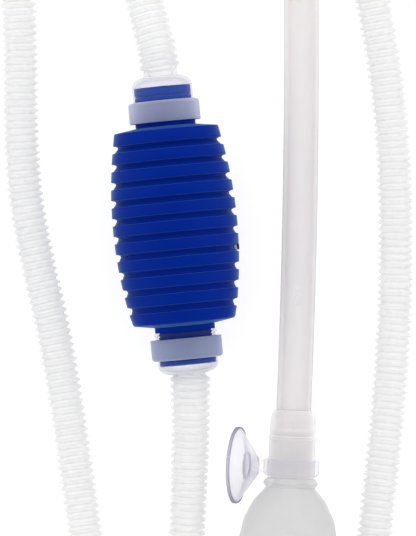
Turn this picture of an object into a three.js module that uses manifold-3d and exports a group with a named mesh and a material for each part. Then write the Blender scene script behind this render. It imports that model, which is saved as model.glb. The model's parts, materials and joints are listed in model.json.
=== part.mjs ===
// Gravel vacuum siphon: a squeeze bulb with two check valves, a corrugated hose on each side of
// it, and a stiff wand that ends in a wide gravel tube with a suction-cup clip. Millimetres, +Z
// up. Everything lies on a table at z = 0.
import * as THREE from 'three';
import { mergeVertices } from 'three/addons/utils/BufferGeometryUtils.js';
import Module from 'manifold-3d';

const wasm = await Module();
wasm.setup();

// Fits
const GAP = 0.3; // clearance kept between pieces that touch or slide
const FINE = 24; // facets round a large turned piece
const SMALL = 16; // facets round a small turned piece

// Layout on the table. The last line moves the origin under the middle of the rigid pieces.
const BULB_AT = [-16.4, 21.4, 31.1];
const BULB_LEAN = 5.43; // degrees anticlockwise from +Y, seen from above
const HEAD_AT = [41.55, -99.75, 26.0]; // the clip ring's centre, on the gravel tube's axis
const HEAD_LEAN = -2.52;
const CUP_DIP = 15; // degrees that the suction cup points below the horizontal
const ORIGIN_AT = [8.517, -42.303, 0];

// Squeeze bulb, along its own Y axis: inlet neck at -Y, outlet neck at +Y
const RIBS = 11;
const RIB_PITCH = 9.03;
const RIB_WIDTH = 5.4;
const RIB_DEPTH = 2.5;
const BULB_R = 31.1; // over the middle rib
const BULB_TAPER = 4.6; // how much smaller the end ribs are
const BULB_WALL = 2.0;
const BARREL_HALF = ((RIBS - 1) / 2) * RIB_PITCH + RIB_WIDTH / 2;
const FOOT_ROUND = 3.0; // rounded corner at the inlet end
const CROWN_RISE = 1.8; // the outlet end rises this much towards its neck
const NECK_R = 15.0;
const NECK_END = 53.0;
const NECK_SPIGOT_R = 13.2; // the neck's thin end, inside the coupling
const NECK_SPIGOT_END = 60.0;
const NECK_BORE_R = 10.6;
const PLUG_R = 1.5;
const PLUG_AT_Y = -1.5 * RIB_PITCH; // in a groove
const PLUG_OUT = 30.3;

// Coupling: a clear cap that joins a bulb neck to a hose and holds a check valve
const SKIRT_R = 15.0;
const SKIRT_BORE_R = NECK_SPIGOT_R + GAP;
const SKIRT_END = 69.5;
const DOME_END = 74.4;
const SPIGOT_R = 8.35;
const SPIGOT_END = 78.0;
const SPIGOT_BORE_R = 5.5;
const GASKET_FROM = NECK_SPIGOT_END + GAP;
const GASKET_THICK = 1.5;

// Check valve, along Y in the flow direction, from its seat
const VALVE_LENGTH = 7.1;
const VALVE_R = NECK_SPIGOT_R;
const VALVE_BORE_R = 10.4;
const SEAT_THICK = 1.5;
const SEAT_HOLE_R = 6.5;
const DISC_R = 9.0;
const DISC_THICK = 1.2;
const STEM_R = 1.4;
const STEM_TOP = 7.6;
const GUIDE_THICK = 1.3;
const WINDOW_HALF_ANGLE = 0.78; // radians; the guide has three windows round its stem hole
const WINDOW_INNER_R = 3.6;
const WINDOW_OUTER_R = 8.3;

// Clamp rings
const CLAMP_R = 17.75;
const CLAMP_LENGTH = 10.6;
const CLAMP_ROUND = 2.0;
const OUTLET_CLAMP_FROM = 51.6;
const INLET_CLAMP_FROM = -56.4;

// Gravel tube and adapter, along Y towards the wand, from the clip ring's centre
const TUBE_MOUTH = -178;
const TUBE_R = 26.0;
const TUBE_WALL = 1.5;
const TUBE_NECK_R = 10.05;
const TUBE_NECK_BORE_R = 8.6;
const TUBE_NECK_TOP = 18.2;
const ADAPTER_FROM = -4.9;
const ADAPTER_R = 11.65;
const STRAINER_AT = 6.0;
const CLIP_R = 13.95;
const CLIP_FROM = -4.2;
const CLIP_TO = 4.0;

// Wand: a slightly bowed tube, from inside the adapter to the hose connector
const WAND_R = 8.75;
const WAND_BORE_R = 6.75;
const WAND_Z = HEAD_AT[2];
const WAND_FOOT = [42.41, -80.27];
const WAND_BOW = [48.39, 55.6]; // where the tangents of its two ends meet
const WAND_TOP = [45.9, 180.0];
const WAND_TOP_LEAN = 1.15;
const CONNECTOR_GRIP = 16;
const NIPPLE_END = 14;

// Suction cup, along Y away from the neck's axis
const CUP_R = 19.25;
const CUP_FACE = 27.7;
const CUP_STEM_R = 3.0;
const CUP_STEM_FROM = 12.25;

// Hoses: outer radius over the corrugations, and the routes of their centres
const HOSE_R = 9.0;
const HOSE_SIDES = 10;
const HOSE_STEP = 26;
const CUFF_LENGTH = 22;
const CUFF_BORE_R = 5.5;
const INTAKE_ROUTE = [
  [45.6, 194.3, 26], [45.2, 206, 25.4], [40.6, 221, 23.2], [29.2, 235, 20.4],
  [17.7, 249.5, 17.3], [13.5, 268.4, 14.2], [18.6, 289, 11.6], [36, 307.5, 9.8],
  [58.5, 313.4, 9.1], [81, 307.5, 9.1], [97.5, 290.9, 9.1], [103.5, 268.4, 9.1],
  [98.5, 248, 9.1], [86, 231, 9.1], [76, 215, 9.1], [73.2, 193, 9.1], [76.2, 165, 9.1],
  [82.8, 134, 9.1], [88.1, 104, 9.1], [91.8, 74, 9.1], [93.8, 42, 9.1], [94.2, 10, 9.1],
  [93.7, -22, 9.1], [91.6, -54, 9.1], [88.7, -88, 9.1], [84.2, -130, 9.1], [78.4, -210, 9.1],
  [78, -292, 9.1], [71, -328, 9.1], [53, -347.5, 9.1], [29.5, -353.8, 9.1], [5.5, -347, 9.1],
  [-12.8, -328, 9.1], [-19.2, -292, 9.1], [-15, -210, 9.6], [-12.4, -172, 13.2],
  [-10.6, -134, 20], [-9.1, -96, 26.4], [-8.6, -74, 29.4], [-8.8, -57.9, 31.0],
];
const DRAIN_ROUTE = [
  [-24.0, 100.4, 31.0], [-25.6, 110, 29.9], [-29.4, 124, 27.6], [-32.3, 137, 25.4],
  [-33.2, 150, 23.1], [-28.8, 165, 20.5], [-23.1, 186, 17], [-28.4, 207, 13.8],
  [-43.6, 222.4, 11.2], [-64.6, 228, 9.6], [-85.6, 222.4, 9.1], [-101, 207, 9.1],
  [-106.4, 186, 9.1], [-101.6, 164, 9.1], [-96.8, 147, 9.1], [-94.9, 127, 9.1],
  [-94.2, 100, 9.1], [-94, 72, 9.1], [-91.8, 38, 9.1], [-85.8, 4, 9.1], [-78, -30, 9.1],
  [-71.5, -66, 9.1], [-66.4, -100, 9.1], [-61.5, -134, 9.1], [-57.4, -164, 9.1],
];

// ---------------------------------------------------------------------------- materials

const plastic = (color, roughness) =>
  new THREE.MeshStandardMaterial({ color, roughness, metalness: 0 });
const blueRubber = () => plastic(0x12309a, 0.55);
const bluePlastic = () => plastic(0x1a3fae, 0.4);
const clearPlastic = () => plastic(0xe8eaf2, 0.15);
const softClamp = () => plastic(0xa4acc8, 0.45);
const frostedTube = () => plastic(0xe6e2e2, 0.4);
const hosePlastic = () => plastic(0xf0f0f0, 0.35);
const cupPlastic = () => plastic(0xc9c4de, 0.15);
const silicone = () => plastic(0xd9d4cc, 0.6);
const blackRubber = () => plastic(0x1c1c20, 0.7);

// ---------------------------------------------------------------------------- shape helpers

// Turns a profile of [radius, y] points about Y. Its outer side runs up and its inner side down.
// A profile that doesn't start on the axis is closed on itself.
function turned(profile, facets) {
  const points = profile.map(([radius, y]) => new THREE.Vector2(radius, y));
  if (points[0].x > 0) points.push(points[0].clone());
  return new THREE.LatheGeometry(points, facets);
}

// The same profile at the other end of the bulb, running the right way round.
const mirrored = (profile) => profile.map(([radius, y]) => [radius, -y]).reverse();

// Points of a quarter-round or other arc in a profile.
function arc(centreR, centreY, radius, fromDegrees, toDegrees, steps) {
  return Array.from({ length: steps + 1 }, (_, i) => {
    const angle = ((fromDegrees + ((toDegrees - fromDegrees) * i) / steps) * Math.PI) / 180;
    return [centreR + radius * Math.cos(angle), centreY + radius * Math.sin(angle)];
  });
}

// A flat plate with holes, lying across Y from y = 0 up.
function plate(outline, holes, thick, curveSegments) {
  outline.holes.push(...holes);
  const geometry = new THREE.ExtrudeGeometry(outline, {
    depth: thick, bevelEnabled: false, curveSegments,
  });
  return geometry.rotateX(-Math.PI / 2);
}

function circle(PathClass, radius, x = 0, y = 0) {
  return new PathClass().absarc(x, y, radius, 0, 2 * Math.PI, false);
}

function toSolid(geometry) {
  const bare = geometry.clone();
  bare.deleteAttribute('normal');
  bare.deleteAttribute('uv');
  const merged = mergeVertices(bare, 1e-5);
  return new wasm.Manifold(new wasm.Mesh({
    numProp: 3,
    vertProperties: new Float32Array(merged.attributes.position.array),
    triVerts: new Uint32Array(merged.index.array),
  }));
}

function toGeometry(solid) {
  const mesh = solid.getMesh();
  const geometry = new THREE.BufferGeometry();
  geometry.setAttribute('position', new THREE.BufferAttribute(mesh.vertProperties, 3));
  geometry.setIndex(new THREE.BufferAttribute(mesh.triVerts, 1));
  geometry.computeVertexNormals();
  return geometry;
}

const cut = (geometry, tool) => toGeometry(toSolid(geometry).subtract(toSolid(tool)));

function piece(name, geometry, material) {
  const mesh = new THREE.Mesh(geometry, material);
  mesh.name = name;
  return mesh;
}

function placed(pieces, at, leanDegrees) {
  const group = new THREE.Group();
  group.position.set(...at);
  group.rotation.z = THREE.MathUtils.degToRad(leanDegrees);
  group.add(...pieces);
  return group;
}

// ---------------------------------------------------------------------------- squeeze bulb

const ribRadius = (y) => BULB_R - BULB_TAPER * (y / (BARREL_HALF - RIB_WIDTH / 2)) ** 2;

function bulbOuterSide() {
  const side = [];
  for (let i = 0; i < RIBS; i += 1) {
    const middle = (i - (RIBS - 1) / 2) * RIB_PITCH;
    const low = middle - RIB_WIDTH / 2;
    const high = middle + RIB_WIDTH / 2;
    if (i === 0) {
      const corner = ribRadius(low) - FOOT_ROUND;
      side.push(...arc(corner, low + FOOT_ROUND, FOOT_ROUND, -90, 0, 3));
    } else {
      side.push([ribRadius(low) - RIB_DEPTH, low], [ribRadius(low), low]);
    }
    side.push([ribRadius(high), high]);
    if (i < RIBS - 1) side.push([ribRadius(high) - RIB_DEPTH, high]);
  }
  return side;
}

function squeezeBulb() {
  const innerR = (y) => ribRadius(y) - RIB_DEPTH - BULB_WALL;
  const innerEnd = BARREL_HALF - BULB_WALL;
  const inner = [innerEnd, 0.7 * innerEnd, 0.35 * innerEnd, 0];
  const innerSide = [...inner, ...inner.slice(0, -1).reverse().map((y) => -y)];
  const body = turned([
    [NECK_SPIGOT_R, -NECK_SPIGOT_END], [NECK_SPIGOT_R, -NECK_END], [NECK_R, -NECK_END],
    [NECK_R, -BARREL_HALF - 0.4],
    ...bulbOuterSide(),
    [NECK_R, BARREL_HALF + CROWN_RISE], [NECK_R, NECK_END],
    [NECK_SPIGOT_R, NECK_END], [NECK_SPIGOT_R, NECK_SPIGOT_END],
    [NECK_BORE_R, NECK_SPIGOT_END], [NECK_BORE_R, innerEnd],
    ...innerSide.map((y) => [innerR(y), y]),
    [NECK_BORE_R, -innerEnd], [NECK_BORE_R, -NECK_SPIGOT_END],
  ], FINE);
  const hole = new THREE.CylinderGeometry(PLUG_R + GAP, PLUG_R + GAP, 16, 12)
    .rotateZ(Math.PI / 2).translate(BULB_R - 4, PLUG_AT_Y, 0);
  return piece('squeeze_bulb', cut(body, hole), blueRubber());
}

// The moulding hole in the bulb's side is shut by a small plug.
function bulbPlug() {
  const length = 5.5;
  const geometry = new THREE.CylinderGeometry(PLUG_R, PLUG_R, length, 12)
    .rotateZ(Math.PI / 2).translate(PLUG_OUT - length / 2, PLUG_AT_Y, 0);
  return piece('bulb_plug', geometry, blackRubber());
}

// ---------------------------------------------------------------------------- couplings, valves

function coupling(side) {
  const domeHeight = DOME_END - SKIRT_END;
  const domeWidth = SKIRT_R - SPIGOT_R;
  const dome = arc(0, 0, 1, 0, 80, 4).map(([x, y]) => [
    SPIGOT_R + domeWidth * x, SKIRT_END + domeHeight * y,
  ]);
  const profile = [
    [SKIRT_R, NECK_END + GAP], ...dome, [SPIGOT_R, DOME_END], [SPIGOT_R, SPIGOT_END],
    [SPIGOT_BORE_R, SPIGOT_END], [SPIGOT_BORE_R, DOME_END - 1],
    [SKIRT_BORE_R - 2.5, SKIRT_END + 1.8], [SKIRT_BORE_R, SKIRT_END],
    [SKIRT_BORE_R, NECK_END + GAP],
  ];
  const geometry = turned(side > 0 ? profile : mirrored(profile), FINE);
  return piece(side > 0 ? 'outlet_coupling' : 'inlet_coupling', geometry, clearPlastic());
}

function gasket(side) {
  const profile = [
    [VALVE_R, GASKET_FROM], [VALVE_R, GASKET_FROM + GASKET_THICK],
    [NECK_BORE_R, GASKET_FROM + GASKET_THICK], [NECK_BORE_R, GASKET_FROM],
  ];
  const geometry = turned(side > 0 ? profile : mirrored(profile), SMALL);
  return piece(side > 0 ? 'outlet_gasket' : 'inlet_gasket', geometry, blackRubber());
}

// Both ends of a clamp ring are alike but for the rounded corner that faces its hose.
function clampRing(side) {
  const bore = SKIRT_R + GAP;
  const profile = [
    [CLAMP_R, 0],
    ...arc(CLAMP_R - CLAMP_ROUND, CLAMP_LENGTH - CLAMP_ROUND, CLAMP_ROUND, 0, 90, 3),
    [bore, CLAMP_LENGTH], [bore, 0],
  ];
  const geometry = turned(side > 0 ? profile : mirrored(profile), FINE)
    .translate(0, side > 0 ? OUTLET_CLAMP_FROM : INLET_CLAMP_FROM, 0);
  return piece(side > 0 ? 'outlet_clamp_ring' : 'inlet_clamp_ring', geometry, softClamp());
}

// A check valve is a cup with a seat, a disc on a stem and a guide that limits the disc's lift.
// Water flows towards +Y in both, so neither is mirrored.
function valve(prefix, seatAt) {
  const body = turned([
    [VALVE_R, 0], [VALVE_R, VALVE_LENGTH], [VALVE_BORE_R, VALVE_LENGTH],
    [VALVE_BORE_R, SEAT_THICK], [SEAT_HOLE_R, SEAT_THICK], [SEAT_HOLE_R, 0],
  ], SMALL);
  const discFrom = SEAT_THICK + GAP;
  const disc = turned([
    [0, discFrom], [DISC_R, discFrom], [DISC_R, discFrom + DISC_THICK],
    [STEM_R, discFrom + DISC_THICK], [STEM_R, STEM_TOP], [0, STEM_TOP],
  ], SMALL);
  const windows = [0, 1, 2].map((i) => {
    const middle = (i * 2 * Math.PI) / 3;
    const from = middle - WINDOW_HALF_ANGLE;
    const to = middle + WINDOW_HALF_ANGLE;
    const window = new THREE.Path();
    window.absarc(0, 0, WINDOW_OUTER_R, from, to, false);
    window.absarc(0, 0, WINDOW_INNER_R, to, from, true);
    return window;
  });
  const guide = plate(
    circle(THREE.Shape, VALVE_BORE_R - GAP),
    [circle(THREE.Path, STEM_R + GAP), ...windows],
    GUIDE_THICK,
    5,
  ).translate(0, VALVE_LENGTH - GUIDE_THICK, 0);
  return [
    piece(`${prefix}_valve_body`, body, bluePlastic()),
    piece(`${prefix}_valve_disc`, disc, silicone()),
    piece(`${prefix}_valve_guide`, guide, bluePlastic()),
  ].map((mesh) => {
    mesh.position.y = seatAt;
    return mesh;
  });
}

// ---------------------------------------------------------------------------- gravel head

function gravelTube() {
  const shoulder = [
    [TUBE_R, -50], [25.8, -44], [24.4, -34], [22.9, -26], [21.5, -23], [18, -16.2], [12.3, -10],
  ];
  const insideShoulder = shoulder.map(([radius, y]) => [radius - TUBE_WALL, y]).reverse();
  const geometry = turned([
    [TUBE_R, TUBE_MOUTH], ...shoulder,
    [12, -9.8], [13.75, -7.5], [12, -5.2],
    [TUBE_NECK_R, -5.2], [TUBE_NECK_R, TUBE_NECK_TOP],
    [TUBE_NECK_BORE_R, TUBE_NECK_TOP], [TUBE_NECK_BORE_R, -7],
    ...insideShoulder, [TUBE_R - TUBE_WALL, TUBE_MOUTH],
  ], FINE);
  return piece('gravel_tube', geometry, frostedTube());
}

function tubeAdapter() {
  const wandBore = WAND_R + GAP;
  const neckBore = TUBE_NECK_R + GAP;
  const geometry = turned([
    [ADAPTER_R, ADAPTER_FROM], [ADAPTER_R, 14.2], [12.3, 14.6], [12.3, 15.4], [11.4, 15.9],
    [11.4, 23.7], [11.0, 26], [10.1, 28], [9.6, 28.7],
    [wandBore, 28.7], [wandBore, 18.8], [neckBore, 18.5], [neckBore, ADAPTER_FROM],
  ], FINE);
  return piece('tube_adapter', geometry, frostedTube());
}

// A pierced disc in the tube's neck keeps gravel out of the wand.
function strainer() {
  const holes = [0, 1, 2, 3, 4, 5].map((i) => {
    const angle = (i * Math.PI) / 3;
    return circle(THREE.Path, 1.9, 5.4 * Math.cos(angle), 5.4 * Math.sin(angle));
  });
  const geometry = plate(
    circle(THREE.Shape, TUBE_NECK_BORE_R - GAP), [circle(THREE.Path, 1.9), ...holes], 1.5, 4,
  ).translate(0, STRAINER_AT, 0);
  return piece('strainer', geometry, clearPlastic());
}

function clipRing() {
  const bore = ADAPTER_R + GAP;
  const ring = turned([
    [CLIP_R - 1.3, CLIP_FROM], [CLIP_R, CLIP_FROM + 1.6], [CLIP_R, CLIP_TO],
    [bore, CLIP_TO], [bore, CLIP_FROM],
  ], FINE);
  const stemHole = new THREE.CylinderGeometry(CUP_STEM_R + GAP, CUP_STEM_R + GAP, 12, 16)
    .translate(0, CLIP_R, 0).applyQuaternion(cupTurn());
  return piece('clip_ring', cut(ring, stemHole), cupPlastic());
}

// Turns +Y to the cup's axis: towards -X and down.
function cupTurn() {
  const dip = THREE.MathUtils.degToRad(CUP_DIP);
  const towards = new THREE.Vector3(-Math.cos(dip), 0, -Math.sin(dip));
  return new THREE.Quaternion().setFromUnitVectors(new THREE.Vector3(0, 1, 0), towards);
}

function suctionCup() {
  const bossFrom = CUP_STEM_FROM + 4.1;
  const core = CUP_FACE - 4.9;
  const geometry = turned([
    [0, CUP_STEM_FROM], [CUP_STEM_R, CUP_STEM_FROM], [CUP_STEM_R, bossFrom],
    [5.6, bossFrom], [6.2, bossFrom + 0.8], [6.3, bossFrom + 2.2],
    [12, 22.4], [17.8, 25.9], [CUP_R, 26.2], [CUP_R, CUP_FACE],
    [CUP_R - 1.2, CUP_FACE], [17, 26.8], [12, 24.3], [7.2, core + 0.2], [6.8, core], [0, core],
  ], SMALL + 4);
  const cup = piece('suction_cup', geometry, cupPlastic());
  cup.quaternion.copy(cupTurn());
  return cup;
}

// ---------------------------------------------------------------------------- wand and hoses

function wand() {
  const path = new THREE.QuadraticBezierCurve3(
    new THREE.Vector3(...WAND_FOOT, WAND_Z),
    new THREE.Vector3(...WAND_BOW, WAND_Z),
    new THREE.Vector3(...WAND_TOP, WAND_Z),
  );
  const section = circle(THREE.Shape, WAND_R);
  section.holes.push(circle(THREE.Path, WAND_BORE_R));
  const geometry = new THREE.ExtrudeGeometry(section, {
    steps: 8, curveSegments: 8, extrudePath: path,
  });
  return piece('wand', geometry, frostedTube());
}

// A sleeve over the wand's end, with a barbed nipple for the hose.
function hoseConnector() {
  const bore = WAND_R + GAP;
  const geometry = turned([
    [bore + 1.6, -CONNECTOR_GRIP], [bore + 1.6, 1.2], [bore + 0.5, 2.3], [6.3, 2.3],
    [6.3, 6], [6.9, 6.2], [6.3, 8.6], [6.3, 10.6], [6.9, 10.8], [5.9, NIPPLE_END],
    [4.5, NIPPLE_END], [4.5, GAP], [bore, GAP], [bore, -CONNECTOR_GRIP],
  ], SMALL);
  return piece('hose_connector', geometry, frostedTube());
}

function hose(name, route) {
  const path = new THREE.CatmullRomCurve3(
    route.map((point) => new THREE.Vector3(...point)), false, 'centripetal',
  );
  const section = new THREE.Shape(Array.from({ length: HOSE_SIDES }, (_, i) => {
    const angle = (i * 2 * Math.PI) / HOSE_SIDES;
    return new THREE.Vector2(HOSE_R * Math.cos(angle), HOSE_R * Math.sin(angle));
  }));
  const steps = Math.round(path.getLength() / HOSE_STEP);
  return piece(name, new THREE.ExtrudeGeometry(section, { steps, extrudePath: path }), hosePlastic());
}

// The plain end of the drain hose, in line with its last stretch.
function outletCuff() {
  const [before, end] = DRAIN_ROUTE.slice(-2).map((point) => new THREE.Vector3(...point));
  const along = end.clone().sub(before).normalize();
  const geometry = turned([
    [HOSE_R, GAP], [HOSE_R, CUFF_LENGTH], [CUFF_BORE_R, CUFF_LENGTH], [CUFF_BORE_R, GAP],
  ], SMALL);
  const cuff = piece('outlet_cuff', geometry, hosePlastic());
  cuff.quaternion.setFromUnitVectors(new THREE.Vector3(0, 1, 0), along);
  cuff.position.copy(end);
  return cuff;
}

// ---------------------------------------------------------------------------- assembly

const bulbGroup = placed([
  squeezeBulb(), bulbPlug(),
  coupling(-1), clampRing(-1), gasket(-1), ...valve('inlet', -SKIRT_END + GAP),
  coupling(1), clampRing(1), gasket(1),
  ...valve('outlet', GASKET_FROM + GASKET_THICK + GAP),
], BULB_AT, BULB_LEAN);

const headGroup = placed([
  gravelTube(), tubeAdapter(), strainer(), clipRing(), suctionCup(),
], HEAD_AT, HEAD_LEAN);

const connectorGroup = placed([hoseConnector()], [...WAND_TOP, WAND_Z], WAND_TOP_LEAN);

const siphon = new THREE.Group();
siphon.name = 'gravel_vacuum_siphon';
siphon.add(
  bulbGroup, headGroup, wand(), connectorGroup,
  hose('intake_hose', INTAKE_ROUTE), hose('drain_hose', DRAIN_ROUTE), outletCuff(),
);
siphon.position.set(...ORIGIN_AT).negate();

export default siphon;
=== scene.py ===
"""Gravel vacuum siphon lying on a white table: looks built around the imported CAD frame.

Lengths are in millimetres inside the builders and become metres in the meshes. A turned piece is
made about its own Y axis and then placed, as in the CAD model.
"""
import json
import math

import bmesh
import bpy
import numpy as np
from mathutils import Matrix, Vector


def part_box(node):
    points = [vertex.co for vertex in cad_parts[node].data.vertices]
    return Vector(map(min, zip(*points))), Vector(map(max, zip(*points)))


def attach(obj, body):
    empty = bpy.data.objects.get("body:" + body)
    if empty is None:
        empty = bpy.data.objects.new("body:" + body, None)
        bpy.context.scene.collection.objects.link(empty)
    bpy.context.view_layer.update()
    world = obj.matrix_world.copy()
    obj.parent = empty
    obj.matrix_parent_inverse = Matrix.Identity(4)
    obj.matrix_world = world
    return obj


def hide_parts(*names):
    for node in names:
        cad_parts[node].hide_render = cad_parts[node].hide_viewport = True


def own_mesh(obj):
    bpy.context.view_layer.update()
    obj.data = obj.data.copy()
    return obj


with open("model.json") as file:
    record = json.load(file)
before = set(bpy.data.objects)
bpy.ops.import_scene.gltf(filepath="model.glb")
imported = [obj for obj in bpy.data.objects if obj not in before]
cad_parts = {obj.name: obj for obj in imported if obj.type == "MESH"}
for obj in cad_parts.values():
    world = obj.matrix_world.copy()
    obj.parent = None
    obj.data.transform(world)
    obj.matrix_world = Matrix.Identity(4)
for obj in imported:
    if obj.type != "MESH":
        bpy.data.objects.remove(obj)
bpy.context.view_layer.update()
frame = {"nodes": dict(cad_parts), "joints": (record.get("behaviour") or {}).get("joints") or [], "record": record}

MM = 0.001
JOINTS = {joint["name"]: joint for joint in frame["joints"]}
UP = Vector((0, 0, 1))


def middle(node):
    low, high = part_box(node)
    return (low + high) / 2


# Places, read from the frame
BULB_AT = middle("squeeze_bulb")
BULB_AXIS = Vector(JOINTS["outlet_disc_lift"]["axis"])
HEAD_AT = Vector(JOINTS["clip_turn"]["pos_m"])
HEAD_AXIS = Vector(JOINTS["clip_turn"]["axis"])
CUP_AXIS = Vector(JOINTS["cup_turn"]["axis"])

# The layout that the routes below are given in has its origin here, in the row frame's metres
LAYOUT_ORIGIN = Vector((-8.517, 42.303, 0)) * MM

# Squeeze bulb, along its own Y axis: the inlet neck is at -Y, the outlet neck at +Y
RIBS = 11
RIB_PITCH = 8.97
RIBS_AT = -0.5  # the middle rib sits this far from the bulb's middle
RIB_WIDTH = 5.4
RIB_DEPTH = 2.3
GROOVE_STEP = 1.1  # how deep a groove is where it starts, before it slants in to the rib's depth
GROOVE_FLOOR = (1.5, 0.7)  # its deepest stretch, as distances before the next rib
GROOVE_LIP = 0.1
END_RIB_EXTRA = 0.7  # the rib at each end is this much wider
BULB_R = 31.1  # over the middle rib
BULB_TAPER = 4.6  # how much smaller the end ribs are
BULB_WALL = 2.0
BARREL_HALF = (RIBS - 1) / 2 * RIB_PITCH + RIB_WIDTH / 2
FOOT_ROUND = 1.8  # the corner at the inlet end
FOOT_RISE = 2.7  # how far the inlet end of the barrel rises towards its neck
CROWN_RISE = 1.8  # and the outlet end
NECK_R = 15.0
NECK_END = 53.0
NECK_BORE_R = 10.6
NECK_OVERLAP = 0.8  # how far the necks run into the barrel's ends
THREAD_ROOT_R = 12.9
THREAD_CREST_R = 13.4
THREAD_PITCH = 1.6
THREAD_TURNS = 4
THREAD_END = 60.0
BLOW_HOLE_AT = 13.55  # from the bulb's middle towards its inlet, in a groove

# Couplings, along the bulb's axis from its middle
SKIRT_R = 15.0
SKIRT_BORE_R = 14.3
SKIRT_FROM = 53.3
SKIRT_END = 69.5
LIP_R = 15.7  # the inlet skirt's lip
LIP_END = 54.5
DOME_END = 74.4
DOME_WALL = 1.2
DOME_BORE_R = 13.5
OUTLET_SPIGOT_R = 8.35
INLET_SPIGOT_R = 7.5
SPIGOT_BORE_R = 6.6
SPIGOT_END = 78.0

# Valve cups, each from its seat in the direction of the flow
INLET_SEAT = -69.8
OUTLET_SEAT = 62.1
VALVE_R = 14.1
VALVE_LENGTH = 7.1
VALVE_BORE_R = 10.4
VALVE_GROOVE_R = 13.8
SEAT_THICK = 1.5
SEAT_HOLE_R = 6.5

# Clamp rings: where each starts from the bulb's middle, and its bore
CLAMP_R = 17.75
CLAMP_LENGTH = 10.6
CLAMP_ROUND = 1.8
INLET_CLAMP = (56.4, 15.85)
OUTLET_CLAMP = (51.6, 15.3)

# Gravel tube, adapter and clip, along the tube's axis from the clip ring's middle to the wand
TUBE_MOUTH = -178
TUBE_R = 26.0
TUBE_WALL = 1.5
TUBE_NECK_R = 10.05
TUBE_NECK_BORE_R = 8.6
TUBE_NECK_END = 18.2
ADAPTER_FROM = -4.9
ADAPTER_BORE_R = 10.35
CLIP_FROM = -4.2
CLIP_BORE_R = 11.95

# Wand: the ends of its axis and the point that it bows towards, in the layout
WAND_ROUTE = ((42.41, -80.27), (48.39, 55.6), (45.9, 180))
WAND_R = 8.75
WAND_BORE_R = 6.75
WAND_EDGE = 0.4
CONNECTOR_LEAN = 1.15  # degrees anticlockwise from +Y

# Hoses
HOSE_CREST = 9.1
HOSE_VALLEY = 7.35
HOSE_WALL = 0.6
HOSE_FLARE = 1.15  # how much wider a hose is where it is pushed onto a spigot
FLARE_LENGTH = 90.0
HOSE_PITCH = 3.53
HOSE_SIDES = 26
# One convolution: shares of the pitch, and of the way from valley to crest
OUTER_WAVE = [(0, 0), (0.13, 0.05), (0.36, 0.95), (0.5, 1), (0.64, 0.95), (0.87, 0.05)]
INNER_WAVE = [(0.08, 0), (0.38, 0.95), (0.62, 0.95), (0.92, 0)]
CUFF_R = 9.1
CUFF_LENGTH = 22.0
CUFF_BORE_R = 5.5
INTAKE_ROUTE = [
    (45.6, 194.3, 26), (45.2, 206, 25.4), (40.6, 221, 23.2), (29.2, 235, 20.4),
    (17.7, 249.5, 17.3), (13.5, 268.4, 14.2), (18.6, 289, 11.6), (36, 307.5, 9.8),
    (58.5, 313.4, 9.1), (81, 307.5, 9.1), (97.5, 290.9, 9.1), (103.5, 268.4, 9.1),
    (98.5, 248, 9.1), (86, 231, 9.1), (76, 215, 9.1), (73.2, 193, 9.1), (76.2, 165, 9.1),
    (82.8, 134, 9.1), (88.1, 104, 9.1), (91.8, 74, 9.1), (93.8, 42, 9.1), (94.2, 10, 9.1),
    (93.7, -22, 9.1), (91.6, -54, 9.1), (88.7, -88, 9.1), (84.2, -130, 9.1), (78.4, -210, 9.1),
    (78, -292, 9.1), (71, -328, 9.1), (53, -347.5, 9.1), (29.5, -353.8, 9.1), (5.5, -347, 9.1),
    (-12.8, -328, 9.1), (-19.2, -292, 9.1), (-15, -210, 9.6), (-12.4, -172, 13.2),
    (-10.6, -134, 20), (-9.1, -96, 26.4), (-8.6, -74, 29.4), (-8.8, -57.9, 31.0),
]
DRAIN_ROUTE = [
    (-24.0, 100.4, 31.0), (-25.6, 110, 29.9), (-29.4, 124, 27.6), (-32.3, 137, 25.4),
    (-33.2, 150, 23.1), (-28.8, 165, 20.5), (-23.1, 186, 17), (-28.4, 207, 13.8),
    (-43.6, 222.4, 11.2), (-64.6, 228, 9.6), (-85.6, 222.4, 9.1), (-101, 207, 9.1),
    (-106.4, 186, 9.1), (-101.6, 164, 9.1), (-96.8, 147, 9.1), (-94.9, 127, 9.1),
    (-94.2, 100, 9.1), (-94, 72, 9.1), (-91.8, 38, 9.1), (-85.8, 4, 9.1), (-78, -30, 9.1),
    (-71.5, -66, 9.1), (-66.4, -100, 9.1), (-61.5, -134, 9.1), (-57.4, -164, 9.1),
]
# How far a hose's own ends run past its route, over what it is pushed onto
INTAKE_START_REACH = 12.0
INTAKE_END_REACH = 4.4
DRAIN_START_REACH = 1.3

# Camera: straight above the middle of the shown part of the layout
CAMERA_HEIGHT = 3.0
SCALE_HEIGHT = 0.02  # the view is VIEW_HEIGHT high at this height above the table
VIEW_HEIGHT = 0.268
SENSOR = 36.0

# Light: a white tent round a lit white table, and a soft window beyond the picture's top
TENT_WALL = 1.1
TENT_TOP = 0.2
TENT_EDGE = (0.82, 0.98)  # sine of the height at which the walls give way to the top
TABLE_GLOW = 0.75
TABLE_HALF = 4.0
WINDOW_AT = (0.0, 2.2, 1.6)
WINDOW_SIZE = 1.6
WINDOW_POWER = 14


# ------------------------------------------------------------------ camera and light


def add_camera():
    data = bpy.data.cameras.new("camera")
    data.sensor_width = SENSOR
    data.lens = SENSOR * CAMERA_HEIGHT / VIEW_HEIGHT
    data.clip_end = 50
    camera = bpy.data.objects.new("camera", data)
    camera.location = LAYOUT_ORIGIN + Vector((0, 0, CAMERA_HEIGHT + SCALE_HEIGHT))
    bpy.context.scene.collection.objects.link(camera)
    bpy.context.scene.camera = camera


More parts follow.
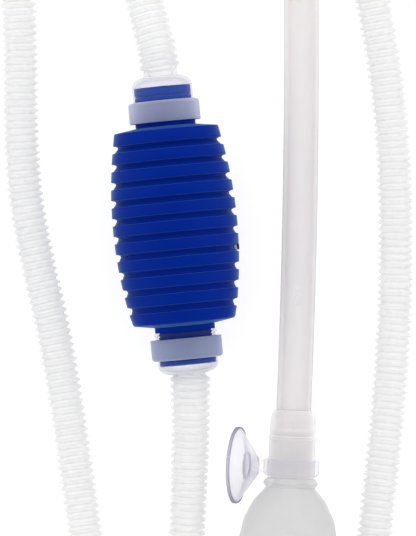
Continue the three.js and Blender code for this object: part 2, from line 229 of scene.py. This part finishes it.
def add_window():
    data = bpy.data.lights.new("window", "AREA")
    data.shape = "SQUARE"
    data.size = WINDOW_SIZE
    data.energy = WINDOW_POWER
    light = bpy.data.objects.new("window", data)
    light.location = WINDOW_AT
    light.rotation_euler = (-Vector(WINDOW_AT)).to_track_quat("-Z", "Y").to_euler()
    bpy.context.scene.collection.objects.link(light)


def add_world():
    """A white tent: bright walls all round, and a dim top."""
    world = bpy.data.worlds.new("studio")
    world.use_nodes = True
    tree = world.node_tree
    height = tree.nodes.new("ShaderNodeSeparateXYZ")
    direction = tree.nodes.new("ShaderNodeTexCoord")
    tree.links.new(direction.outputs["Generated"], height.inputs["Vector"])
    glow = tree.nodes.new("ShaderNodeMapRange")
    glow.interpolation_type = "SMOOTHSTEP"
    tree.links.new(height.outputs["Z"], glow.inputs["Value"])
    glow.inputs["From Min"].default_value = TENT_EDGE[0]
    glow.inputs["From Max"].default_value = TENT_EDGE[1]
    glow.inputs["To Min"].default_value = TENT_WALL
    glow.inputs["To Max"].default_value = TENT_TOP
    background = tree.nodes["Background"]
    background.inputs["Color"].default_value = (1, 1, 1, 1)
    tree.links.new(glow.outputs["Result"], background.inputs["Strength"])
    bpy.context.scene.world = world


# ------------------------------------------------------------------ curves and meshes

ON_AXIS = 1e-6  # a smaller radius is on the axis
NEARLY_STRAIGHT = -0.94  # a flatter corner than this cosine isn't rounded
MOST_OF_SIDE = 0.45  # the share of a side that a rounded corner may take


def smooth_route(points, step=1.0):
    """A centripetal Catmull-Rom curve through the points, sampled evenly, in millimetres."""
    p = np.array(points, float)
    p = np.vstack([2 * p[0] - p[1], p, 2 * p[-1] - p[-2]])
    samples = []
    for i in range(1, len(p) - 2):
        a, b, c, d = p[i - 1 : i + 3]
        t0, t1, t2 = (np.linalg.norm(v) ** 0.5 for v in (b - a, c - b, d - c))
        m1 = ((b - a) / t0 - (c - a) / (t0 + t1) + (c - b) / t1) * t1
        m2 = ((c - b) / t1 - (d - b) / (t1 + t2) + (d - c) / t2) * t1
        for t in np.linspace(0, 1, 24, endpoint=False):
            samples.append(
                (2 * t**3 - 3 * t**2 + 1) * b + (t**3 - 2 * t**2 + t) * m1
                + (3 * t**2 - 2 * t**3) * c + (t**3 - t**2) * m2
            )
    samples.append(p[-2])
    line = np.array(samples)
    along = np.concatenate([[0], np.cumsum(np.linalg.norm(np.diff(line, axis=0), axis=1))])
    at = np.linspace(0, along[-1], int(along[-1] / step) + 1)
    return np.stack([np.interp(at, along, line[:, k]) for k in range(3)], axis=1)


def steady_frames(line):
    """At each point of a line, two directions across it that turn as little as they can."""
    tangent = np.gradient(line, axis=0)
    tangent /= np.linalg.norm(tangent, axis=1)[:, None]
    side = np.cross(tangent[0], (0, 0, 1.0))
    side /= np.linalg.norm(side)
    sides = [side]
    for direction in tangent[1:]:
        side = sides[-1] - np.dot(sides[-1], direction) * direction
        sides.append(side / np.linalg.norm(side))
    sides = np.array(sides)
    return sides, np.cross(sides, tangent)


def make_piece(name, vertices, faces, matrix=None, crease=35):
    """A mesh object from millimetre points, smooth but for edges sharper than crease degrees."""
    mesh = bpy.data.meshes.new(name)
    mesh.from_pydata((np.asarray(vertices) * MM).tolist(), [], faces)
    shape = bmesh.new()
    shape.from_mesh(mesh)
    bmesh.ops.recalc_face_normals(shape, faces=shape.faces)
    shape.to_mesh(mesh)
    shape.free()
    mesh.polygons.foreach_set("use_smooth", [True] * len(mesh.polygons))
    mesh.set_sharp_from_angle(angle=math.radians(crease))
    piece = bpy.data.objects.new(name, mesh)
    bpy.context.scene.collection.objects.link(piece)
    if matrix is not None:
        mesh.transform(matrix)
    return piece


def placed_at(origin, axis):
    """The place of a turned piece: its Y along the axis, and its Z as near up as it can be."""
    y = Vector(axis).normalized()
    x = y.cross(UP).normalized()
    z = x.cross(y)
    matrix = Matrix((x, y, z)).transposed().to_4x4()
    matrix.translation = origin
    return matrix


def arc(centre_r, centre_y, radius, start, end, steps):
    """Profile points of an arc, between two angles in degrees."""
    return [
        (centre_r + radius * math.cos(a), centre_y + radius * math.sin(a))
        for a in map(math.radians, np.linspace(start, end, steps + 1))
    ]


def softened(profile, radius, steps=3):
    """A closed profile with its corners rounded, as moulded edges are."""
    points = [np.array(p, float) for p in profile]
    result = []
    for i, corner in enumerate(points):
        before, after = points[i - 1], points[(i + 1) % len(points)]
        if corner[0] < ON_AXIS:
            result.append(corner)
            continue
        u, v = before - corner, after - corner
        lu, lv = np.linalg.norm(u), np.linalg.norm(v)
        cosine = np.clip(np.dot(u, v) / (lu * lv), -1, 1)
        if cosine < NEARLY_STRAIGHT:
            result.append(corner)
            continue
        reach = radius / math.tan(math.acos(cosine) / 2)
        reach = min(reach, MOST_OF_SIDE * lu, MOST_OF_SIDE * lv)
        start, end = corner + u / lu * reach, corner + v / lv * reach
        for t in np.linspace(0, 1, steps + 1):
            result.append((1 - t) ** 2 * start + 2 * t * (1 - t) * corner + t * t * end)
    return [tuple(p) for p in result]


def turned(name, profile, matrix, sides=96, crease=35):
    """Turns a closed profile of (radius, y) about Y. A profile may start and end on the axis."""
    open_ended = profile[0][0] < ON_AXIS and profile[-1][0] < ON_AXIS
    angles = np.arange(sides) * 2 * math.pi / sides
    vertices, rings = [], []
    for radius, y in profile:
        if radius < ON_AXIS:
            rings.append([len(vertices)] * sides)
            vertices.append((0, y, 0))
            continue
        rings.append(list(range(len(vertices), len(vertices) + sides)))
        for angle in angles:
            vertices.append((radius * math.sin(angle), y, radius * math.cos(angle)))
    faces = []
    pairs = list(zip(rings, rings[1:]))
    if not open_ended:
        pairs.append((rings[-1], rings[0]))
    for low, high in pairs:
        for i in range(sides):
            k = (i + 1) % sides
            face = list(dict.fromkeys([low[i], low[k], high[k], high[i]]))
            if len(face) > 2:
                faces.append(face)
    return make_piece(name, vertices, faces, matrix, crease)


def swept(name, line, outer, inner, sides, crease=60):
    """A tube along a line. outer and inner list (distance, radius) from its start to its end."""
    side, over = steady_frames(line)
    along = np.concatenate([[0], np.cumsum(np.linalg.norm(np.diff(line, axis=0), axis=1))])
    angles = np.arange(sides) * 2 * math.pi / sides

    def rings(stations):
        s = np.array([station[0] for station in stations])
        r = np.array([station[1] for station in stations])
        at, a, b = (
            np.stack([np.interp(s, along, v[:, k]) for k in range(3)], axis=1)
            for v in (line, side, over)
        )
        across, up = np.cos(angles)[None, :, None], np.sin(angles)[None, :, None]
        ring = a[:, None] * across + b[:, None] * up
        return at[:, None] + ring * r[:, None, None]

    walls = [rings(outer), rings(inner[::-1])]
    vertices = np.concatenate([wall.reshape(-1, 3) for wall in walls])
    count = len(vertices) // sides
    low = np.arange(count)[:, None] * sides + np.arange(sides)[None]
    high = np.roll(low, -1, axis=0)
    quads = np.stack([low, np.roll(low, -1, axis=1), np.roll(high, -1, axis=1), high], axis=-1)
    return make_piece(name, vertices, quads.reshape(-1, 4).tolist(), crease=crease)


# ------------------------------------------------------------------ materials


class Look:
    """A node material with a mottled colour, an uneven gloss and a fine relief."""

    def __init__(self, name, dark, light, roughness, specular=0.3, grain=400.0, relief=0.05):
        self.name = name
        self.material = bpy.data.materials.new(name)
        self.material.use_nodes = True
        self.tree = self.material.node_tree
        self.surface = self.tree.nodes["Principled BSDF"]
        self.surface.inputs["Specular IOR Level"].default_value = specular
        self.place = self.node("ShaderNodeTexCoord").outputs["Object"]
        mottle = self.noise(grain * 0.12, detail=4)
        tint = self.node("ShaderNodeMix")
        tint.data_type = "RGBA"
        self.link(mottle, tint.inputs["Factor"])
        tint.inputs["A"].default_value = (*dark, 1)
        tint.inputs["B"].default_value = (*light, 1)
        self.colour = tint.outputs["Result"]
        self.link(self.colour, self.surface.inputs["Base Color"])
        gloss = self.spread(self.noise(grain * 0.4), 0.3, 0.7, roughness * 0.85, roughness * 1.15)
        self.link(gloss, self.surface.inputs["Roughness"])
        bump = self.node("ShaderNodeBump")
        bump.inputs["Strength"].default_value = relief
        bump.inputs["Distance"].default_value = 0.0002
        self.link(self.noise(grain), bump.inputs["Height"])
        self.link(bump.outputs["Normal"], self.surface.inputs["Normal"])

    def node(self, kind):
        return self.tree.nodes.new(kind)

    def link(self, output, socket):
        self.tree.links.new(output, socket)

    def noise(self, scale, detail=3):
        noise = self.node("ShaderNodeTexNoise")
        noise.inputs["Scale"].default_value = scale
        noise.inputs["Detail"].default_value = detail
        self.link(self.place, noise.inputs["Vector"])
        return noise.outputs["Fac"]

    def spread(self, value, from_low, from_high, to_low, to_high):
        spread = self.node("ShaderNodeMapRange")
        self.link(value, spread.inputs["Value"])
        for socket, number in zip(
            ("From Min", "From Max", "To Min", "To Max"), (from_low, from_high, to_low, to_high)
        ):
            spread.inputs[socket].default_value = number
        return spread.outputs["Result"]

    def math(self, operation, first, second=None):
        math_node = self.node("ShaderNodeMath")
        math_node.operation = operation
        for socket, value in zip(math_node.inputs, (first, second)):
            if isinstance(value, (int, float)):
                socket.default_value = value
            elif value is not None:
                self.link(value, socket)
        return math_node.outputs["Value"]

    def see_through(self, density, glow=0.5, least_squareness=0.06):
        """A wall that lets light straight through, less at a slant, and scatters the rest.

        glow is the share of the scattered light that comes out on the far side, and
        least_squareness limits how solid the wall gets where it is seen edge on.
        """
        facing = self.node("ShaderNodeLayerWeight")
        facing.inputs["Blend"].default_value = 0.5
        turned_away = self.math("SUBTRACT", 1.0, facing.outputs["Facing"])
        squareness = self.math("MAXIMUM", turned_away, least_squareness)
        uneven = self.spread(self.noise(25), 0.3, 0.7, density * 0.96, density * 1.04)
        depth = self.math("DIVIDE", uneven, squareness)
        passed = self.math("EXPONENT", self.math("MULTIPLY", depth, -1.0))
        scattered = self.node("ShaderNodeBsdfTranslucent")
        self.link(self.colour, scattered.inputs["Color"])
        milk = self.mix(glow, self.surface.outputs["BSDF"], scattered.outputs["BSDF"])
        clear = self.node("ShaderNodeBsdfTransparent")
        wall = self.mix(passed, milk, clear.outputs["BSDF"])
        self.link(wall, self.tree.nodes["Material Output"].inputs["Surface"])
        return self

    def mix(self, share, first, second):
        mix = self.node("ShaderNodeMixShader")
        if isinstance(share, float):
            mix.inputs["Fac"].default_value = share
        else:
            self.link(share, mix.inputs["Fac"])
        self.link(first, mix.inputs[1])
        self.link(second, mix.inputs[2])
        return mix.outputs["Shader"]

    def with_sheen(self, weight, roughness, tint):
        self.surface.inputs["Sheen Weight"].default_value = weight
        self.surface.inputs["Sheen Roughness"].default_value = roughness
        self.surface.inputs["Sheen Tint"].default_value = (*tint, 1)
        return self

    def glowing(self, strength):
        self.surface.inputs["Emission Color"].default_value = (1, 1, 1, 1)
        self.surface.inputs["Emission Strength"].default_value = strength
        return self


def make_looks():
    """Every material of the object, by name, and the table's. A material slot's own look has the
    slot's name, and the others are variants of it: painted_light_neck_rubber of blue_rubber, dome_plastic of
    clear_plastic, painted_shade_clamp of soft_clamp, sleeve_plastic and bell_plastic of frosted_plastic,
    the vinyls of clear_vinyl, and painted_reflection_boss_plastic of blue_plastic. painted_light_neck_rubber is a
    brighter copy that paints light on the necks, painted_shade_clamp a darker copy that paints shade on the
    inlet's ring, and painted_reflection_boss_plastic a paler copy that paints a reflection on the blow-hole boss.
    """
    looks = [
        Look("blue_rubber", (0.0004, 0.015, 0.228), (0.001, 0.0195, 0.266),
             roughness=0.4, specular=0.02)
        .with_sheen(0.26, 0.35, (0.35, 0.8, 1.0)),
        # A brighter copy of blue_rubber for the necks: painted light where the necks lie in shade under the rings
        # and couplings.
        Look("painted_light_neck_rubber", (0.0004, 0.026, 0.29), (0.001, 0.031, 0.33),
             roughness=0.4, specular=0.01),
        Look("blue_plastic", (0.004, 0.045, 0.32), (0.007, 0.055, 0.37),
             roughness=0.3, specular=0.06),
        Look("clear_plastic", (0.6, 0.58, 0.64), (0.64, 0.62, 0.68), roughness=0.12)
        .see_through(density=0.04),
        Look("dome_plastic", (0.95, 0.935, 0.94), (0.97, 0.955, 0.96), roughness=0.2)
        .see_through(density=0.19, glow=0.4),
        Look("soft_clamp", (0.5, 0.54, 0.74), (0.54, 0.58, 0.78), roughness=0.35)
        .see_through(density=0.5, glow=0.15),
        # A darker copy of soft_clamp for the inlet's ring: painted shade.
        Look("painted_shade_clamp", (0.34, 0.39, 0.6), (0.38, 0.43, 0.64), roughness=0.35)
        .see_through(density=0.9, glow=0.15),
        Look("frosted_plastic", (0.8, 0.79, 0.785), (0.88, 0.83, 0.84), roughness=0.4)
        .see_through(density=0.35),
        Look("sleeve_plastic", (0.96, 0.93, 0.935), (0.98, 0.95, 0.955), roughness=0.4)
        .see_through(density=0.33, glow=0.15, least_squareness=0.4),
        Look("bell_plastic", (0.78, 0.775, 0.78), (0.8, 0.795, 0.8), roughness=0.4)
        .see_through(density=0.45),
        Look("hose_plastic", (0.94, 0.94, 0.94), (0.97, 0.97, 0.97), roughness=0.3)
        .see_through(density=0.35, glow=0.5, least_squareness=0.28),
        Look("clear_vinyl", (0.61, 0.58, 0.74), (0.65, 0.62, 0.78), roughness=0.12)
        .see_through(density=0.065),
        Look("cone_vinyl", (0.9, 0.89, 0.95), (0.93, 0.92, 0.98), roughness=0.12)
        .see_through(density=0.26, glow=0.2),
        Look("core_vinyl", (0.5, 0.48, 0.66), (0.54, 0.52, 0.7), roughness=0.12)
        .see_through(density=0.04),
        Look("thick_vinyl", (0.3, 0.28, 0.44), (0.35, 0.33, 0.49), roughness=0.12)
        .see_through(density=0.45),
        Look("lip_vinyl", (0.3, 0.28, 0.4), (0.35, 0.33, 0.45), roughness=0.12)
        .see_through(density=1.2, glow=0.2),
        # A pale copy of blue_plastic for the blow-hole boss: a painted reflection on its rounded edge.
        Look("painted_reflection_boss_plastic", (0.62, 0.68, 0.8), (0.66, 0.72, 0.84), roughness=0.3, specular=0.3),
        Look("silicone", (0.6, 0.58, 0.54), (0.68, 0.65, 0.61), roughness=0.5),
        Look("black_rubber", (0.012, 0.012, 0.014), (0.02, 0.02, 0.024), roughness=0.6),
        Look("floor", (0.38, 0.38, 0.38), (0.4, 0.4, 0.4),
             roughness=0.7, specular=0.1, grain=40.0, relief=0.0)
        .glowing(TABLE_GLOW),
    ]
    return {look.name: look for look in looks}


LOOKS = make_looks()


def finished(piece, body, slot, nodes, look=None):
    """Gives a piece its material, the look's or else the slot's own, and its body, and hides the CAD nodes it
    stands for.
    """
    piece.data.materials.append(LOOKS[look or slot].material)
    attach(piece, body)
    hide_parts(*nodes)
    return piece


# ------------------------------------------------------------------ hoses


def drawn_out(line, start_reach, end_reach):
    """The line with a straight stretch added at each end."""
    parts = [line]
    if start_reach:
        back = line[0] - line[1]
        parts.insert(0, [line[0] + back / np.linalg.norm(back) * start_reach])
    if end_reach:
        ahead = line[-1] - line[-2]
        parts.append([line[-1] + ahead / np.linalg.norm(ahead) * end_reach])
    return np.vstack(parts)


def corrugated(length, flares):
    """Outer and inner stations of a corrugated tube. flares(s) lists how far s is from each end
    that is stretched over a spigot.
    """
    count = int(length / HOSE_PITCH)
    pitch = length / count
    depth = HOSE_CREST - HOSE_VALLEY

    def wider(s):
        near = [max(0.0, 1 - distance / FLARE_LENGTH) for distance in flares(s)]
        return HOSE_FLARE * max(near) ** 1.5

    walls = []
    for wave, inset in ((OUTER_WAVE, 0.0), (INNER_WAVE, HOSE_WALL)):
        stations = []
        for i in range(count):
            for phase, height in wave:
                s = (i + phase) * pitch
                stations.append((s, HOSE_VALLEY + depth * height - inset + wider(s)))
        stations.append((length, HOSE_VALLEY - inset + wider(length)))
        walls.append(stations)
    return walls


def to_row(points):
    """Layout millimetres as row metres."""
    return np.asarray(points) * MM + np.array(LAYOUT_ORIGIN)


def line_length(line):
    return float(np.linalg.norm(np.diff(line, axis=0), axis=1).sum())


def add_hose(name, route, start_reach, end_reach, flares):
    line = drawn_out(smooth_route(route), start_reach, end_reach)
    length = line_length(line)
    outer, inner = corrugated(length, lambda s: flares(s, length))
    hose = swept(name, line, outer, inner, HOSE_SIDES)
    hose.data.transform(Matrix.Translation(LAYOUT_ORIGIN))
    return hose, to_row(line)


def add_intake_hose():
    hose, path = add_hose(
        "intake_hose_tube", INTAKE_ROUTE, INTAKE_START_REACH, INTAKE_END_REACH,
        lambda s, length: (length - s,),
    )
    finished(hose, "root", "hose_plastic", ["intake_hose"])


def add_drain_hose():
    hose, path = add_hose(
        "drain_hose_tube", DRAIN_ROUTE, DRAIN_START_REACH, 0.0, lambda s, length: (s,)
    )
    finished(hose, "root", "hose_plastic", ["drain_hose"])
    cuff = add_outlet_cuff(path)


def add_outlet_cuff(path):
    """The drain hose's plain end, with one shallow groove round it."""
    direction = Vector(path[-1] - path[-2]).normalized()
    profile = softened(
        [(CUFF_R, 0.3), (CUFF_R, 17.5), (8.6, 18.2), (8.6, 19.2), (CUFF_R, 19.8),
         (CUFF_R, CUFF_LENGTH), (CUFF_BORE_R, CUFF_LENGTH), (CUFF_BORE_R, 0.3)], 0.5)
    cuff = turned("drain_hose_cuff", profile, placed_at(Vector(path[-1]), direction), 48)
    return finished(cuff, "root", "hose_plastic", ["outlet_cuff"])


# ------------------------------------------------------------------ squeeze bulb


def bulb_place():
    return placed_at(BULB_AT, BULB_AXIS)


def rib_radius(y):
    return BULB_R - BULB_TAPER * (y / (BARREL_HALF - RIB_WIDTH / 2)) ** 2


def barrel_profile():
    """The ribbed barrel. Each groove starts with a step and slants in to its floor by the next
    rib.
    """
    floor_from, floor_to = GROOVE_FLOOR
    outer = []
    for i in range(RIBS):
        centre = (i - (RIBS - 1) / 2) * RIB_PITCH + RIBS_AT
        low, high = centre - RIB_WIDTH / 2, centre + RIB_WIDTH / 2
        r_low, r_high = rib_radius(low), rib_radius(high)
        if i == 0:
            corner = low - END_RIB_EXTRA + FOOT_ROUND
            outer += arc(r_low - FOOT_ROUND, corner, FOOT_ROUND, -90, 0, 6)
        else:
            outer += [(r_low - RIB_DEPTH, low - floor_from), (r_low - RIB_DEPTH, low - floor_to),
                      (r_low - GROOVE_STEP, low - GROOVE_LIP), (r_low, low)]
        if i < RIBS - 1:
            outer += [(r_high, high), (r_high - GROOVE_STEP, high)]
        else:
            outer.append((r_high, high + END_RIB_EXTRA))
    inner_end = BARREL_HALF - BULB_WALL
    inner = [
        (rib_radius(y) - RIB_DEPTH - BULB_WALL, y) for y in np.linspace(inner_end, -inner_end, 9)
    ]
    foot, crown = -BARREL_HALF - FOOT_RISE, BARREL_HALF + CROWN_RISE
    return (
        [(NECK_BORE_R, foot), (NECK_R, foot)] + outer + [(NECK_R, crown), (NECK_BORE_R, crown)]
        + [(NECK_BORE_R, inner_end)] + inner + [(NECK_BORE_R, -inner_end)]
    )


def neck_profile():
    """A bulb neck, with the fine thread on its thin end that shows through the coupling."""
    inside = BARREL_HALF - NECK_OVERLAP
    thread = []
    for i in range(THREAD_TURNS):
        start = NECK_END + 0.5 + i * THREAD_PITCH
        thread += [(THREAD_ROOT_R, start), (THREAD_CREST_R, start + 0.4),
                   (THREAD_CREST_R, start + 0.8), (THREAD_ROOT_R, start + 1.2)]
    return (
        [(NECK_R, inside), (NECK_R, NECK_END), (THREAD_ROOT_R, NECK_END)] + thread
        + [(THREAD_ROOT_R, THREAD_END), (NECK_BORE_R, THREAD_END), (NECK_BORE_R, inside)]
    )


def add_bulb():
    matrix = bulb_place()
    barrel = turned("bulb_barrel", softened(barrel_profile(), 0.8, 2), matrix, 128)
    finished(barrel, "bulb", "blue_rubber", ["squeeze_bulb"])
    for side, end in ((-1, "inlet"), (1, "outlet")):
        neck = facing(softened(neck_profile(), 0.2, 2), side)
        piece = turned(f"bulb_neck_{end}", neck, matrix, 96)
        # The necks take a brighter copy of the bulb's rubber, which paints light on them.
        finished(piece, "root", "blue_rubber", ["squeeze_bulb"], "painted_light_neck_rubber")
    outward = BULB_AXIS.cross(UP)
    hole_place = placed_at(BULB_AT - BULB_AXIS * BLOW_HOLE_AT * MM, outward)
    plug = softened([(0, 24.8), (1.6, 24.8), (1.6, 30.5), (1.3, 30.8), (0, 30.8)], 0.2, 2)
    piece = turned("bulb_blow_plug", plug, hole_place, 32)
    finished(piece, "bulb", "black_rubber", ["bulb_plug"])
    # The boss's pale colour is a painted reflection.
    boss = softened([(2.9, 26.5), (2.8, 29.6), (1.8, 29.6), (1.8, 26.5)], 0.3, 2)
    piece = turned("bulb_blow_boss", boss, hole_place, 32)
    finished(piece, "bulb", "blue_plastic", ["squeeze_bulb"], "painted_reflection_boss_plastic")
    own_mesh(barrel)


# ------------------------------------------------------------------ couplings and clamp rings


def add_couplings():
    """Each coupling is one moulding: a clear skirt, and the thicker dome with its spigot."""
    matrix = bulb_place()
    for side, end in ((-1, "inlet"), (1, "outlet")):
        if side > 0:
            spigot_r = OUTLET_SPIGOT_R
            edge = [(SKIRT_R, SKIRT_FROM)]
        else:
            spigot_r = INLET_SPIGOT_R
            edge = [(LIP_R, SKIRT_FROM), (LIP_R, LIP_END), (SKIRT_R, LIP_END + 0.2)]
        skirt = edge + [
            (SKIRT_R, SKIRT_END), (SKIRT_BORE_R, SKIRT_END), (SKIRT_BORE_R, SKIRT_FROM),
        ]
        inside = dome(DOME_BORE_R, SPIGOT_BORE_R + 0.3, DOME_END - DOME_WALL)
        shoulder = (
            dome(SKIRT_R, spigot_r, DOME_END)
            + [(spigot_r, SPIGOT_END), (SPIGOT_BORE_R, SPIGOT_END), (SPIGOT_BORE_R, DOME_END - 1)]
            + inside[::-1]
        )
        for name, profile, look in (
            (f"{end}_coupling_skirt", softened(skirt, 0.3, 2), "clear_plastic"),
            (f"{end}_coupling_dome", shoulder, "dome_plastic"),
        ):
            piece = turned(name, facing(profile, side), matrix, 96)
            finished(piece, "root", "clear_plastic", [f"{end}_coupling"], look)


def dome(wide, narrow, top):
    """Profile points of a rounded shoulder, from the skirt's end up and in to the spigot."""
    return [
        (narrow + (wide - narrow) * x, SKIRT_END + (top - SKIRT_END) * y)
        for x, y in arc(0, 0, 1, 0, 86, 8)
    ]


def facing(profile, side):
    """The profile as it is at the outlet, or mirrored for the inlet."""
    return profile if side > 0 else [(radius, -y) for radius, y in reversed(profile)]


def add_valve_cups():
    """Each valve's cup shows through its coupling's clear skirt as a blue band."""
    matrix = bulb_place()
    for end, seat in (("inlet", INLET_SEAT), ("outlet", OUTLET_SEAT)):
        top, floor = seat + VALVE_LENGTH, seat + SEAT_THICK
        profile = [
            (VALVE_R, seat), (VALVE_R, seat + 2.2), (VALVE_GROOVE_R, seat + 2.5),
            (VALVE_GROOVE_R, seat + 2.9), (VALVE_R, seat + 3.2), (VALVE_R, top),
            (VALVE_BORE_R, top), (VALVE_BORE_R, floor), (SEAT_HOLE_R, floor), (SEAT_HOLE_R, seat),
        ]
        piece = turned(f"{end}_valve_cup", softened(profile, 0.25, 2), matrix, 96)
        finished(piece, "root", "blue_plastic", [f"{end}_valve_body"])


def add_clamp_rings():
    """The inlet's ring gets a darker copy of the ring's material, which paints shade on it."""
    matrix = bulb_place()
    # The inlet ring's darker look is painted shade.
    rings = ((-1, "inlet", INLET_CLAMP, "painted_shade_clamp"), (1, "outlet", OUTLET_CLAMP, "soft_clamp"))
    for side, end, (start, bore), look in rings:
        top = start + CLAMP_LENGTH
        corner = arc(CLAMP_R - CLAMP_ROUND, top - CLAMP_ROUND, CLAMP_ROUND, 0, 90, 6)
        profile = [(CLAMP_R, start), *corner, (bore, top), (bore, start)]
        profile = facing(softened(profile, 0.25, 2), side)
        piece = turned(f"{end}_clamp_band", profile, matrix, 96)
        finished(piece, f"{end}_ring", "soft_clamp", [f"{end}_clamp_ring"], look)


# ------------------------------------------------------------------ gravel head and wand


def head_place():
    return placed_at(HEAD_AT, HEAD_AXIS)


def add_gravel_tube():
    """The bell: a straight tube, a shoulder, a V-shaped bead, and a neck inside the adapter."""
    shoulder = [
        (TUBE_R, TUBE_MOUTH), (TUBE_R, -50), (25.8, -44), (24.2, -34), (22.6, -26), (21.0, -22.4),
        (17.7, -16.2), (12.3, -10),
    ]
    bead = [(12.2, -9.6), (13.75, -7.5), (12, -5.2)]
    neck = [
        (TUBE_NECK_R, -5.2), (TUBE_NECK_R, TUBE_NECK_END), (TUBE_NECK_BORE_R, TUBE_NECK_END),
        (TUBE_NECK_BORE_R, -7),
    ]
    inside = [(radius - TUBE_WALL, y) for radius, y in reversed(shoulder)]
    profile = shoulder + bead + neck + inside
    tube = turned("gravel_tube_bell", softened(profile, 0.5, 3), head_place(), 128)
    finished(tube, "gravel_head", "frosted_plastic", ["gravel_tube"], "bell_plastic")


def add_tube_adapter():
    """A sleeve with a bead round it. Its upper part closes in over the wand."""
    lower = [(11.65, ADAPTER_FROM), (11.65, 14.2)]
    bead = [(12.3, 14.6), (12.3, 15.4)]
    upper = [(11.4, 15.9), (11.4, 23.7), (11.0, 26), (10.1, 28), (9.6, 28.7)]
    bore = [(9.05, 28.7), (9.05, 18.8), (ADAPTER_BORE_R, 18.5), (ADAPTER_BORE_R, ADAPTER_FROM)]
    profile = lower + bead + upper + bore
    piece = turned("adapter_sleeve", softened(profile, 0.3, 2), head_place(), 96)
    finished(piece, "gravel_head", "frosted_plastic", ["tube_adapter"], "sleeve_plastic")


def add_clip():
    ring = softened(
        [(12.65, CLIP_FROM), (13.95, -2.6), (13.95, 4.0), (CLIP_BORE_R, 4.0),
         (CLIP_BORE_R, CLIP_FROM)], 0.3, 2)
    piece = turned("clip_band", ring, head_place(), 96)
    finished(piece, "clip", "clear_vinyl", ["clip_ring"])


def add_suction_cup():
    """The cup is one moulding, made as four pieces because its looks differ with its thickness:
    a thin cone, the cone's thick rim, the core with the stem, and the lip round the core.
    """
    place = placed_at(HEAD_AT, CUP_AXIS)
    cone = softened(
        [(4.7, 17.5), (18.3, 27.2), (18.3, 28.2), (12.2, 24.4), (6.2, 21.6), (5.2, 20.2),
         (4.2, 18.6)], 0.25, 2)
    rim = softened(
        [(18.2, 27.1), (19.0, 26.9), (19.25, 27.4), (19.25, 28.7), (18.2, 28.9), (17.7, 28.2)],
        0.3, 2)
    core = softened(
        [(0, 12.25), (3.0, 12.25), (3.0, 16.2), (4.0, 16.5), (4.7, 17.5), (5.4, 19.6),
         (6.6, 22.4), (6.6, 23.3), (0, 23.3)], 0.3, 2)
    lip = softened([(6.2, 22.4), (7.0, 22.4), (7.0, 23.5), (6.2, 23.5)], 0.2, 2)
    for name, profile, look in (
        ("suction_cup_cone", cone, "cone_vinyl"),
        ("suction_cup_rim", rim, "thick_vinyl"),
        ("suction_cup_core", core, "core_vinyl"),
        ("suction_cup_core_lip", lip, "lip_vinyl"),
    ):
        finished(turned(name, profile, place, 96), "cup", "clear_vinyl", ["suction_cup"], look)


def add_wand():
    """A stiff tube that bows a little sideways, with its outer edges broken at both ends."""
    t = np.linspace(0, 1, 80)[:, None]
    foot, bow, top = (np.array(p, float) for p in WAND_ROUTE)
    flat = foot * (1 - t) ** 2 + bow * 2 * t * (1 - t) + top * t**2
    line = np.hstack([flat, np.full((len(flat), 1), HEAD_AT.z / MM)])
    length = line_length(line)
    stations = [0, *np.linspace(WAND_EDGE, length - WAND_EDGE, 70), length]
    outer = [(s, WAND_R) for s in stations]
    outer[0] = (0, WAND_R - WAND_EDGE)
    outer[-1] = (length, WAND_R - WAND_EDGE)
    inner = [(s, WAND_BORE_R) for s in stations]
    wand = swept("wand_tube", line, outer, inner, 72)
    wand.data.transform(Matrix.Translation(LAYOUT_ORIGIN))
    finished(wand, "root", "frosted_plastic", ["wand"])


def add_connector():
    """A sleeve over the wand's far end, with a barbed spigot that goes into the hose."""
    sleeve = [(10.65, -16), (10.65, 1.2), (9.55, 2.3)]
    barbs = [
        (6.3, 2.3), (6.3, 6), (6.9, 6.2), (6.3, 8.6), (6.3, 10.6), (6.9, 10.8), (5.9, 14),
    ]
    bore = [(4.5, 14), (4.5, 0.3), (9.05, 0.3), (9.05, -16)]
    profile = sleeve + barbs + bore
    lean = math.radians(CONNECTOR_LEAN)
    at = Vector(to_row((*WAND_ROUTE[-1], HEAD_AT.z / MM)))
    matrix = placed_at(at, (-math.sin(lean), math.cos(lean), 0))
    piece = turned("connector_sleeve", softened(profile, 0.3, 2), matrix, 72)
    finished(piece, "root", "frosted_plastic", ["hose_connector"])


# ------------------------------------------------------------------ floor and carried CAD nodes


def add_floor():
    mesh = bpy.data.meshes.new("floor")
    half = TABLE_HALF
    corners = [(-half, -half, 0), (half, -half, 0), (half, half, 0), (-half, half, 0)]
    mesh.from_pydata(corners, [], [(0, 1, 2, 3)])
    floor = bpy.data.objects.new("floor", mesh)
    floor.data.materials.append(LOOKS["floor"].material)
    bpy.context.scene.collection.objects.link(floor)


def dress_cad_nodes():
    """The small inner pieces stay as they are in the frame, with these materials."""
    slots = {row["node"]: row["material_slot"] for row in frame["record"]["subparts"]}
    for name, node in frame["nodes"].items():
        material = LOOKS[slots[name]].material
        for slot in node.material_slots:
            slot.material = material


# ------------------------------------------------------------------ scene

add_camera()
add_intake_hose()
add_drain_hose()
add_bulb()
add_couplings()
add_valve_cups()
add_clamp_rings()
add_gravel_tube()
add_tube_adapter()
add_clip()
add_suction_cup()
add_wand()
add_connector()
dress_cad_nodes()
add_floor()
add_world()
add_window()
bpy.context.scene.view_settings.view_transform = "Standard"
bpy.context.scene.cycles.transparent_max_bounces = 40
